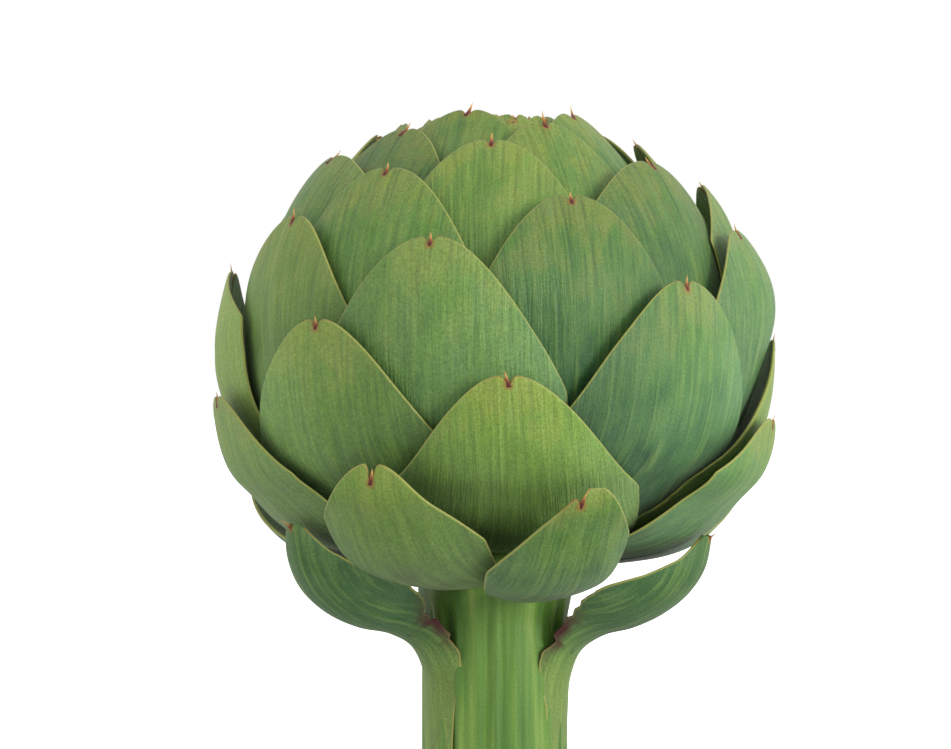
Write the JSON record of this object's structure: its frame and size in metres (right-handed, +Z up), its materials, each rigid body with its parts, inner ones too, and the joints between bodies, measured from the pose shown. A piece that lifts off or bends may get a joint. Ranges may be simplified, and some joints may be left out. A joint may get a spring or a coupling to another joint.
{
  "type": "globe artichoke",
  "caption": "Whole green globe artichoke with spiralling notched, thorn-tipped bracts, a closed crown and a short ribbed stem with torn leaf bases.",
  "frame": {"origin": "centre of the stem's flat cut face, at the head's own axis", "axes": "+Z up along the stem and head axis, -Y towards the front of the head, +X to the right seen from the front"},
  "size_m": [0.1124, 0.1133, 0.1391],
  "materials": {
    "bract_green": "satin, waxy bloom",
    "inner_bract_green": "satin",
    "stem_green": "satin, fibrous"
  },
  "bodies": {
    "root": {"stem": "stem_green", "bud": "inner_bract_green", "stem_leaf_left": "bract_green", "stem_leaf_right": "bract_green", "bract_01": "bract_green", "bract_02": "bract_green", "bract_03": "bract_green", "bract_04": "bract_green", "bract_05": "bract_green", "bract_06": "bract_green", "bract_07": "bract_green", "bract_08": "bract_green", "bract_09": "bract_green", "bract_10": "bract_green", "bract_11": "bract_green", "bract_12": "bract_green", "bract_13": "bract_green", "bract_14": "bract_green", "bract_15": "bract_green", "bract_16": "bract_green", "bract_17": "bract_green", "bract_18": "bract_green", "bract_19": "bract_green", "bract_20": "bract_green", "bract_21": "bract_green", "bract_22": "bract_green", "bract_23": "bract_green", "bract_24": "bract_green", "bract_25": "bract_green", "bract_26": "bract_green", "bract_27": "bract_green", "bract_28": "bract_green", "bract_29": "bract_green", "bract_30": "bract_green", "bract_31": "inner_bract_green", "bract_32": "inner_bract_green", "bract_33": "inner_bract_green", "bract_34": "inner_bract_green", "bract_35": "inner_bract_green", "bract_36": "inner_bract_green", "bract_37": "inner_bract_green", "bract_38": "inner_bract_green", "bract_39": "inner_bract_green", "bract_40": "inner_bract_green", "bract_41": "inner_bract_green", "bract_42": "inner_bract_green", "bract_43": "inner_bract_green", "bract_44": "inner_bract_green", "bract_45": "inner_bract_green", "bract_46": "inner_bract_green", "bract_47": "inner_bract_green", "bract_48": "inner_bract_green"}
  },
  "joints": []
}
